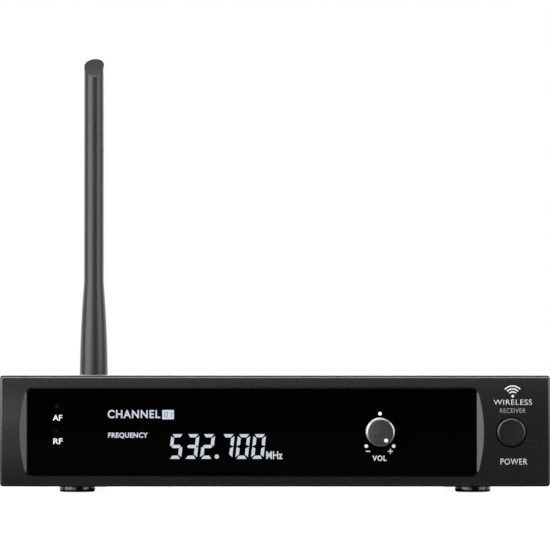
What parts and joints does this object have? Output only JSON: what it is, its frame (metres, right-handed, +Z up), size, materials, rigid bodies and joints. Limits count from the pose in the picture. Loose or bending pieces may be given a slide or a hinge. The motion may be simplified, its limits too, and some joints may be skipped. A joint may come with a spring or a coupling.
{
  "type": "wireless receiver unit",
  "caption": "Half-rack wireless microphone receiver: black case with a smoked display window, volume knob, power button, rear sockets and a tilting whip antenna.",
  "frame": {"origin": "on the table, under the middle of the whole object's bounding box", "axes": "+X to the right seen from the front, +Y to the back, +Z up; the display faces -Y"},
  "size_m": [0.212, 0.197, 0.1824],
  "materials": {
    "panel_black": "moulded satin black",
    "window_smoked": "smoked acrylic",
    "case_black": "black powder coat on sheet steel",
    "foot_rubber": "glossy black",
    "foot_screw": "zinc",
    "screw_black": "black oxide",
    "screw_steel": "zinc",
    "circuit_board": "solder mask",
    "inner_black": "moulded black",
    "display_glass": "display glass",
    "diffuser": "white light guide",
    "lens_green": "green lamp",
    "lens_red": "red lamp",
    "knob": "dark anodised with a bright rim",
    "shaft": "turned steel",
    "pot_metal": "pressed steel",
    "button_black": "satin black",
    "white_plastic": "natural nylon",
    "spring_steel": "spring wire",
    "shield": "tinned steel",
    "can_blue": "sleeved aluminium can",
    "nickel": "nickel plate",
    "cable_black": "cable jacket",
    "cable_grey": "cable jacket",
    "antenna_rubber": "moulded black elastomer"
  },
  "bodies": {
    "enclosure": {"antenna_jack": "nickel", "antenna_jack_nut": "nickel", "antenna_pigtail": "cable_black", "audio_lead": "cable_grey", "audio_processor": "inner_black", "backlight_panel": "diffuser", "board_screw_front_left": "screw_steel", "board_screw_front_right": "screw_steel", "board_screw_rear_left": "screw_steel", "board_screw_rear_right": "screw_steel", "chassis_tray": "case_black", "cover_screw_front_left": "screw_black", "cover_screw_front_right": "screw_black", "cover_screw_rear_left": "screw_black", "cover_screw_rear_right": "screw_black", "dc_inlet": "inner_black", "display_board": "circuit_board", "display_screw_left": "screw_steel", "display_screw_right": "screw_steel", "display_window": "window_smoked", "filter_capacitor_1": "can_blue", "filter_capacitor_2": "can_blue", "foot_front_left": "foot_rubber", "foot_front_right": "foot_rubber", "foot_rear_left": "foot_rubber", "foot_rear_right": "foot_rubber", "foot_screw_front_left": "foot_screw", "foot_screw_front_right": "foot_screw", "foot_screw_rear_left": "foot_screw", "foot_screw_rear_right": "foot_screw", "front_panel": "panel_black", "lcd_frame": "inner_black", "lcd_glass": "display_glass", "led_af": "lens_green", "led_rf": "lens_red", "main_board": "circuit_board", "panel_screw_left": "screw_black", "panel_screw_right": "screw_black", "phone_jack": "inner_black", "phone_jack_nut": "nickel", "power_switch_body": "inner_black", "rf_shield_can": "shield", "ribbon_cable": "cable_grey", "top_cover": "case_black", "voltage_regulator": "inner_black", "volume_pot": "pot_metal", "xlr_insert": "inner_black", "xlr_screw_lower": "screw_black", "xlr_screw_upper": "screw_black", "xlr_socket": "pot_metal"},
    "volume_control": {"volume_knob": "knob", "volume_shaft": "shaft"},
    "power_control": {"power_button": "button_black", "switch_plunger": "white_plastic", "power_switch_spring": "spring_steel"},
    "antenna_collar": {"coupling_sleeve": "nickel"},
    "antenna_elbow": {"antenna_base": "antenna_rubber", "hinge_pin": "screw_steel"},
    "antenna": {"antenna_whip": "antenna_rubber"}
  },
  "joints": [
    {"name": "volume_turn", "type": "hinge", "parent": "enclosure", "child": "volume_control", "pos_m": [0.0404, -0.09009, 0.0237], "axis": [0, 1, 0], "range_deg": [-296, 4]},
    {"name": "power_press", "type": "slide", "parent": "enclosure", "child": "power_control", "axis": [0, 1, 0], "range_m": [0, 0.0025], "stiffness_N_per_m": 350, "deforming": ["power_switch_spring"]},
    {"name": "sleeve_turn", "type": "hinge", "parent": "enclosure", "child": "antenna_collar", "pos_m": [-0.0782, 0.08047, 0.0237], "axis": [0, -1, 0], "range_deg": [0, 90]},
    {"name": "antenna_swivel", "type": "hinge", "parent": "enclosure", "child": "antenna_elbow", "pos_m": [-0.0782, 0.08047, 0.0237], "axis": [0, 1, 0], "range_deg": [-90, 90]},
    {"name": "antenna_tilt", "type": "hinge", "parent": "antenna_elbow", "child": "antenna", "pos_m": [-0.0782, 0.09247, 0.0237], "axis": [-1, 0, 0], "range_deg": [0, 90]}
  ]
}
